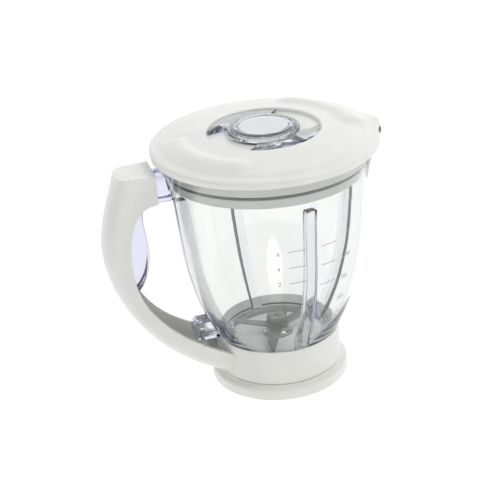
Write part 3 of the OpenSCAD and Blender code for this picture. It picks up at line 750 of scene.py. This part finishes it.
for ridge in (0, 180):
    found = pick(lid, "VERT", lambda m, n: 65.6 < math.hypot(m.x, m.y) < 69.4 and m.z > lid_z
                 and (degrees(m) - ridge) % 360 > 175 and (degrees(m) - ridge) % 360 < 240)
    bpy.ops.transform.translate(value=(0, 0, 3.0 * MM), use_proportional_edit=True,
                                proportional_edit_falloff="SMOOTH", proportional_size=11 * MM)
    print("ridge raised from", found, "vertices")
bpy.ops.object.mode_set(mode="OBJECT")
smooth(lid, 35)
dress(lid, abs_white)
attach(lid, "lid")
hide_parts("lid")
report(lid)

# %% [markdown]
# ## The filler cap
# The cap is a clear cup turned upside down: a skirt in the filler hole, a flange, a raised button
# with a dished face, and two swept wings that are gripped to turn it. A black rubber ring seals
# it. Seen through the clear flange, its black also paints the shade of the gap under the
# button's front. The cup is spun, the wings are cut as flat slabs with rounded edges, and all
# three are united into one closed skin, as for the goblet.

# %% Spin the cup
flange_z = recess_z + 0.05
button_z = flange_z + 6.5
cup = [(21.4, 188.0), (21.8, 187.6), (23.6, 187.6), (24.0, 188.0), (24.0, recess_z - 2.6),
       (22.7, recess_z - 2.6), (22.7, recess_z + 0.9), (24.6, recess_z + 0.9), (24.6, flange_z)]
cup += [(26.8, flange_z)] + [(27.3, flange_z + 0.5), (27.3, flange_z + 3.6)]
cup += arc(26.7, flange_z + 3.6, 0.6, 0, 90, 4)[1:]
cup += [(23.7, flange_z + 4.2), (23.0, flange_z + 4.4), (22.8, flange_z + 4.9)]
cup += [(22.8, button_z - 0.7)] + arc(22.1, button_z - 0.7, 0.7, 0, 90, 4)[1:]
cup += [(21.4, button_z), (20.9, button_z - 0.4)]
cup += [(r, button_z - 0.8 - 0.35 * (1 - (r / 20.6) ** 2)) for r in steps_between(20.4, 0, 11)]
cup_inside = [(r, button_z - 3.2) for r in steps_between(0, 19.8, 6)] + [(21.4, button_z - 4.8)]
cap = turned("filler_cap_clear", cup + cup_inside + [(21.4, 188.0)], 160, closed=False)
report(cap)

# %% Add the two wings
wing = [polar(42, a) for a in steps_between(241, 346, 30)]
tip, root = Vector(wing[-1]), Vector(polar(26.0, 318))
wing += [tuple(tip + (root - tip) * s) for s in (0.03, 0.5, 1.0)]
wing += [polar(24.5, a) for a in steps_between(312, 247, 12)] + [polar(33, 245)]
first_wing = rounded(slab("wing", wing, flange_z, 2.7), 0.5, 2, 30)
wings = joined("wings", [first_wing, copy_of(first_wing, 180)])
carve(cap, wings, "UNION")
smooth(cap, 30)
dress(cap, san_clear, san_frosted)
frosted = 0
for face in cap.data.polygons:
    spot = face.center / MM
    if spot.z > button_z - 1.3 and math.hypot(spot.x, spot.y) < 18.6:
        face.material_index = 1
        frosted += 1
print("frosted faces on the button:", frosted)
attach(cap, "filler_cap")
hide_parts("filler_cap")
report(cap)

# %% The cap's seal and the lid's seal
# The cap's seal is black rubber. Seen through the clear flange, its black also paints the shade of the
# dark gap under the button's front.
cap_seal = turned("filler_cap_seal_black_gap_shade", [(22.8, recess_z - 2.5), (24.3, recess_z - 2.5)]
                  + arc(24.2, recess_z - 1.5, 0.7, -70, 70, 6)
                  + [(24.3, recess_z - 0.5), (24.5, recess_z - 0.3), (24.5, recess_z + 0.8),
                     (22.8, recess_z + 0.8)], 128)
smooth(cap_seal, 40)
dress(cap_seal, rubber_black)
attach(cap_seal, "cap_seal")
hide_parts("filler_cap_seal")
seal_in, seal_out = inner_r(182.7) - 2.2, inner_r(182.7) - 0.9
lid_seal = turned("lid_seal_grey", [(seal_in, 181.7), (seal_out - 0.4, 181.7)]
                  + [(seal_out, 182.2), (seal_out - 0.4, 182.7), (seal_out, 183.2)]
                  + [(seal_out - 0.4, 183.7), (seal_in, 183.7)], 192)
smooth(lid_seal, 40)
dress(lid_seal, silicone)
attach(lid_seal, "lid")
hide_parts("lid_seal")
report(cap_seal)
report(lid_seal)

# %% [markdown]
# ## The base ring
# The base ring is a turned shape: a socket that drops over the power unit, a rounded flange, and
# a tube inside the collar with a groove that the goblet's bayonet lugs turn in. Four notches take
# the power unit's dogs. Rounding the corners in the profile costs nothing and catches the light
# along the flange, which is what makes moulded plastic look moulded.

# %% Spin the ring
ring_line = [(51.4, 6.1), (51.4, 0.4), (51.8, 0.0)]
ring_line += arc(53.4, 1.0, 1.0, -90, 0, 5) + arc(52.9, 7.2, 1.5, 0, 78, 7)
ring_line += [(51.6, 9.0), (50.4, 9.35)] + arc(50.4, 10.25, 0.9, -100, -170, 4)
ring_line += [(49.3, 10.7), (49.0, 11.0), (46.6, 11.0), (46.3, 11.3), (46.3, 33.0), (45.9, 33.4),
              (43.1, 33.4), (42.7, 33.0), (42.7, 27.3), (44.4, 27.3), (44.4, 23.7), (42.7, 23.7),
              (42.7, 15.95), (bore_r, 15.95), (bore_r, 12.95), (43.5, 12.95), (43.5, 8.4)]
ring = turned("base_ring_white", ring_line, 192)
notches = []
for k in range(4):
    ends = [90 * k + 45 + a for a in steps_between(-6, 6, 6)]
    line = [polar(52.8, a) for a in ends] + [polar(50.0, a) for a in reversed(ends)]
    notches.append(slab("notch", line, -1, 7.1))
carve(ring, joined("notches", notches), "DIFFERENCE")
holes = []
for k in range(3):
    a = math.radians(120 * k + 90)
    holes.append(start("cylinder", "hole", radius=1.5 * MM, depth=6 * MM, vertices=24,
                       location=(40.6 * MM * math.cos(a), 40.6 * MM * math.sin(a), 14.5 * MM)))
carve(ring, joined("holes", holes), "DIFFERENCE")
smooth(ring, 35)
dress(ring, abs_white)
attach(ring, "base")
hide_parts("base_ring")
report(ring)

# %% [markdown]
# ## Under the blades
# The pale disc at the bottom of the goblet is the blade carrier, with a shallow step round the
# bearing housing. Both are turned parts, so they are spun from profiles with their corners eased.

# %% Blade carrier and bearing housing
skirt_r = bore_r - 0.3
carrier = turned("blade_carrier_grey",
                 [(9.0, 27.5), (skirt_r - 2.5, 27.5), (skirt_r - 2.5, 15.95), (foot_r - 0.4, 15.95),
                  (foot_r, 16.35), (foot_r, 19.05), (foot_r - 0.4, 19.45), (skirt_r, 19.45),
                  (skirt_r, 29.0)] + arc(skirt_r - 1.0, 29.0, 1.0, 15, 90, 5)
                 + [(30.5, 30.0), (29.9, 29.7), (18.4, 29.7), (17.8, 30.0), (9.0, 30.0)], 160)
smooth(carrier, 30)
dress(carrier, pp_grey)
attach(carrier, "base")
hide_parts("blade_carrier")
report(carrier)

housing = turned("bearing_housing_steel",
                 [(6.5, 16.3), (6.8, 16.0), (8.6, 16.0), (8.9, 16.3), (8.9, 31.0), (12.2, 31.0),
                  (12.5, 31.3), (12.5, 32.6)] + arc(11.8, 32.8, 0.7, 10, 90, 4)
                 + [(9.9, 33.5), (9.3, 34.0), (9.0, 36.0), (8.6, 36.5), (6.8, 36.5), (6.5, 36.2)], 96)
smooth(housing, 30)
dress(housing, steel_turned)
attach(housing, "base")
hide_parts("bearing_housing")
report(housing)

# %% [markdown]
# ## The blades
# Each blade is stamped from 1.5 mm steel as one flat shape, its edges are ground on one face, and
# its arms are then folded: the upper pair rises by 18 degrees and the lower pair drops by 10.
# The model follows the same steps. The flat outline is extruded, the ground edge is a bevel, two
# bisect cuts make the fold lines, and the arms are turned about them.

# %% Stamp, grind and fold
blade_reach, blade_t, fold_x = 36, 1.5, 7.5


def blade(name, low, fold):
    """A two-armed blade with its square hub centred on the axis, arms along X."""
    rise = math.radians(abs(fold))
    arm = (blade_reach - fold_x) / math.cos(rise)
    half = [(fold_x, -5.5), (9.5, -5.3), (fold_x + arm * 0.72, -3.2), (fold_x + arm * 0.93, 0.7),
            (fold_x + arm * 0.985, 2.6), (fold_x + arm * 0.98, 3.4), (fold_x + arm * 0.94, 3.8),
            (9.5, 5.4), (fold_x, 5.5)]
    outline = [(7.2, -7.2)] + half + [(7.2, 7.2), (-7.2, 7.2)] + [(-x, -y) for x, y in half]
    outline += [(-7.2, -7.2)]
    piece = slab(name, outline, low, blade_t)
    only(piece)
    bpy.ops.object.mode_set(mode="EDIT")
    for side in (1, -1):
        pick(piece, "EDGE", lambda m, n: m.z > low + 1.4 and m.x * side > 9.4
             and m.y * side < 2.7 and abs(n.z) < 0.1)
        bpy.ops.mesh.bevel(offset=1.15 * MM, segments=1, affect="EDGES")
        bpy.ops.mesh.select_all(action="SELECT")
        bpy.ops.mesh.bisect(plane_co=(fold_x * MM * side, 0, 0), plane_no=(1, 0, 0))
        pick(piece, "VERT", lambda m, n: m.x * side > 7.55)
        hinge = (fold_x * MM * side, 0, (low + (0 if fold > 0 else blade_t)) * MM)
        bpy.ops.transform.rotate(value=rise * side * (1 if fold > 0 else -1), orient_axis="Y",
                                 center_override=hinge)
    bpy.ops.object.mode_set(mode="OBJECT")
    middle = start("cylinder", "shaft_hole", radius=4.05 * MM, depth=20 * MM, vertices=48,
                   location=(0, 0, low * MM))
    carve(piece, middle, "DIFFERENCE")
    rounded(piece, 0.12, 1, 50)
    smooth(piece, 25)
    dress(piece, steel_ground)
    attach(piece, "rotor")
    report(piece)
    return piece


blade_high = blade("blade_upper_ground", 39.5, 18)
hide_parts("blade_upper")
blade_low = blade("blade_lower_ground", 38.0, -10)
turn(blade_low, 65)
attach(blade_low, "rotor")
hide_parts("blade_lower")
report(blade_low)

# %% The square nut that holds them
nut = start("cube", "blade_nut_square", size=1, scale=(14 * MM, 14 * MM, 4.5 * MM),
            location=(0, 0, 43.25 * MM))
only(nut)
bpy.ops.object.mode_set(mode="EDIT")
pick(nut, "EDGE", lambda m, n: abs(n.z) > 0.9)
bpy.ops.mesh.bevel(offset=1.4 * MM, segments=4, affect="EDGES")
pick(nut, "FACE", lambda m, n: n.z > 0.9 and m.z > 45)
bpy.ops.mesh.inset(thickness=0.7 * MM, depth=0)
bpy.ops.mesh.extrude_region_move(TRANSFORM_OT_translate={"value": (0, 0, 1.0 * MM)})
bpy.ops.object.mode_set(mode="OBJECT")
socket = start("cylinder", "shaft_end", radius=4.0 * MM, depth=4.0 * MM, vertices=48,
               location=(0, 0, 43.0 * MM))
carve(nut, socket, "DIFFERENCE")
dimple = start("cylinder", "dimple", radius=1.6 * MM, depth=1.2 * MM, vertices=6,
               location=(0, 0, 46.6 * MM))
carve(nut, dimple, "DIFFERENCE")
rounded(nut, 0.3, 2, 40)
smooth(nut, 30)
dress(nut, steel_ground)
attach(nut, "rotor")
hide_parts("blade_nut")
report(nut)

# %% [markdown]
# ## The scale on the wall
# The scale is printed on the outside of the goblet: short lines on two columns and plain numbers
# beside them. Each mark is drawn flat first, a plane or a text object made into a mesh. One
# function then lays it on the wall, so that x runs round the goblet and y runs up it, and
# Solidify gives it the thickness of a coat of ink.

# %% Lay a flat mark on the wall
def laid(mark, angle, height):
    """Moves each vertex of a flat mark (x, y in mm) to its place on the goblet's wall."""
    for vertex in mark.data.vertices:
        z = height + vertex.co.y
        turn_by = math.radians(angle) + vertex.co.x / wall_r(z)
        r = wall_r(z) + 0.01
        vertex.co = Vector((r * math.cos(turn_by), r * math.sin(turn_by), z)) * MM
    return mark


def tick(angle, height, width, thick=0.55):
    """A short printed line, width by thick in mm."""
    mark = start("plane", "tick", size=1)
    mark.scale = (width, thick, 1)
    only(mark)
    bpy.ops.object.transform_apply(scale=True)
    bpy.ops.object.mode_set(mode="EDIT")
    bpy.ops.mesh.select_all(action="SELECT")
    bpy.ops.mesh.subdivide(number_cuts=5)
    bpy.ops.object.mode_set(mode="OBJECT")
    return laid(mark, angle, height)


def number(words, angle, height, size):
    """A printed number, size in mm."""
    bpy.ops.object.select_all(action="DESELECT")
    bpy.ops.object.text_add(location=(0, 0, 0))
    mark = bpy.context.active_object
    mark.data.body, mark.data.size = words, size
    mark.data.align_x, mark.data.align_y = "CENTER", "CENTER"
    mark.data.resolution_u = 3
    bpy.ops.object.convert(target="MESH")
    only(mark)
    bpy.ops.object.transform_apply(location=True, rotation=True, scale=True)
    return laid(mark, angle, height)


marks = []
for height, width in ((110, 13), (123.5, 13), (137, 13)):
    marks.append(tick(-90, height, width))
for height, width in ((103, 13), (120, 13), (136, 13)):
    marks.append(tick(-70, height, width))
for height, words in ((110, "2"), (123, "4"), (136, "6")):
    marks.append(number(words, -101, height, 5))
for height, words in ((58, "250"), (82, "500"), (101, "750"), (120, "1000")):
    marks.append(number(words, -56, height, 5))
scale = joined("scale_printed", marks)
only(scale)
coat = scale.modifiers.new("coat", "SOLIDIFY")
coat.thickness, coat.offset = 0.05 * MM, 1
bpy.ops.object.modifier_apply(modifier="coat")
dress(scale, ink_grey)
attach(scale, "goblet")
report(scale)

# %% [markdown]
# ## The parts kept from the CAD
# Seals, screws, bearings, the shaft and the coupler already have the right shape. Each keeps its
# CAD mesh and takes the finish of the real part.

# %% Finishes for the CAD parts
for node, material in (("carrier_screws", zinc_plated), ("base_seal", silicone),
                       ("housing_gasket", silicone), ("housing_nut", zinc_plated),
                       ("bearing_upper", bronze_sintered), ("bearing_lower", bronze_sintered),
                       ("shaft_seal", silicone), ("drive_shaft", steel_turned),
                       ("thrust_washer", steel_turned), ("drive_coupler", rubber_black),
                       ("coupler_pin", steel_turned), ("blade_washer", steel_turned),
                       ("handle_screw", zinc_plated)):
    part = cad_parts[node]
    dress(part, material)
print("CAD parts still shown:", sum(not n.hide_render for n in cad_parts.values()))

# %% [markdown]
# ## Floor, light and camera
# A pale floor runs out of sight in every direction, and the light is a soft sky, bright overhead
# and behind the jug and dim on the near side. Clear plastic only shows by what it bends and
# mirrors, so the dim side is what draws its edges. One soft lamp on the right models the lid's
# ridges, and a weaker one in front fills the handle's channel. The floor glows, as an overlit
# white table does, so that the contact shadow stays faint.

# %% The floor
floor = start("circle", "floor", radius=4.0, vertices=96, fill_type="NGON")
pale, tree, shader, place = finish("floor_pale", "#7c7c7c", 0.6)
vary(tree, shader, noise(tree, place, 3, 2), "#7e7e7e", "#7a7a7a")
shader.inputs["Specular IOR Level"].default_value = 0.2
shader.inputs["Emission Color"].default_value = (1, 1, 1, 1)
shader.inputs["Emission Strength"].default_value = 0.92
floor.data.materials.append(pale)

# %% The sky
sky = bpy.data.worlds.new("soft_sky")
scene.world = sky
sky.use_nodes = True
tree = sky.node_tree
way = add(tree, "ShaderNodeTexCoord").outputs["Generated"]
parts = add(tree, "ShaderNodeSeparateXYZ", {0: way})
height = add(tree, "ShaderNodeMapRange", {0: parts.outputs[2], 1: 0.35, 2: 0.95, 3: 0.0, 4: 1.0},
             interpolation_type="SMOOTHSTEP").outputs[0]
back = add(tree, "ShaderNodeMapRange", {0: parts.outputs[1], 1: -0.6, 2: 0.5, 3: 0.10, 4: 1.15})
right = add(tree, "ShaderNodeMapRange", {0: parts.outputs[0], 1: -0.8, 2: 0.8, 3: -0.05, 4: 0.25})
low = add(tree, "ShaderNodeMath", {0: back.outputs[0], 1: right.outputs[0]}, operation="ADD")
level = add(tree, "ShaderNodeMix", {0: height, 2: low.outputs[0], 3: 0.85}, data_type="FLOAT")
tint = add(tree, "ShaderNodeMix", {0: height, 6: (0.95, 0.955, 1.0, 1), 7: (1.0, 1.0, 1.0, 1)},
           data_type="RGBA")
glow = tree.nodes["Background"]
tree.links.new(tint.outputs[2], glow.inputs["Color"])
tree.links.new(level.outputs[0], glow.inputs["Strength"])

# %% Two soft lamps
for name, size, watts, spot in (("soft_lamp_right", 0.35, 3.0, (0.6, -0.35, 1.1)),
                                ("soft_lamp_front", 0.60, 2.2, (-0.35, -1.2, 0.5))):
    lamp_data = bpy.data.lights.new(name, "AREA")
    lamp_data.shape, lamp_data.size, lamp_data.energy = "DISK", size, watts
    lamp = bpy.data.objects.new(name, lamp_data)
    scene.collection.objects.link(lamp)
    lamp.location = spot
    lamp.rotation_euler = (Vector((0, 0, 0.1)) - lamp.location).to_track_quat("-Z", "Y").to_euler()

# %% The camera
azimuth, elevation, roll = math.radians(-13), 0.4532, 0.0784
distance, aim = 1087.5 * MM, Vector((-17.17, 0, 105.5)) * MM
swing = Matrix.Rotation(azimuth, 4, "Z")
eye = aim + Vector((0, -math.cos(elevation), math.sin(elevation))) * distance
camera = bpy.data.objects.new("camera", bpy.data.cameras.new("camera"))
scene.collection.objects.link(camera)
camera.data.lens, camera.data.sensor_width = 100.45, 36
camera.data.clip_start, camera.data.clip_end = 0.01, 50
look = (aim - eye).to_track_quat("-Z", "Y").to_matrix().to_4x4()
camera.matrix_world = swing @ Matrix.Translation(eye) @ look @ Matrix.Rotation(-roll, 4, "Z")
scene.camera = camera
scene.view_settings.view_transform = "Standard"
scene.cycles.max_bounces = 24
scene.cycles.transmission_bounces = 24
scene.cycles.glossy_bounces = 8
print("camera at", [round(v, 3) for v in camera.matrix_world.translation])
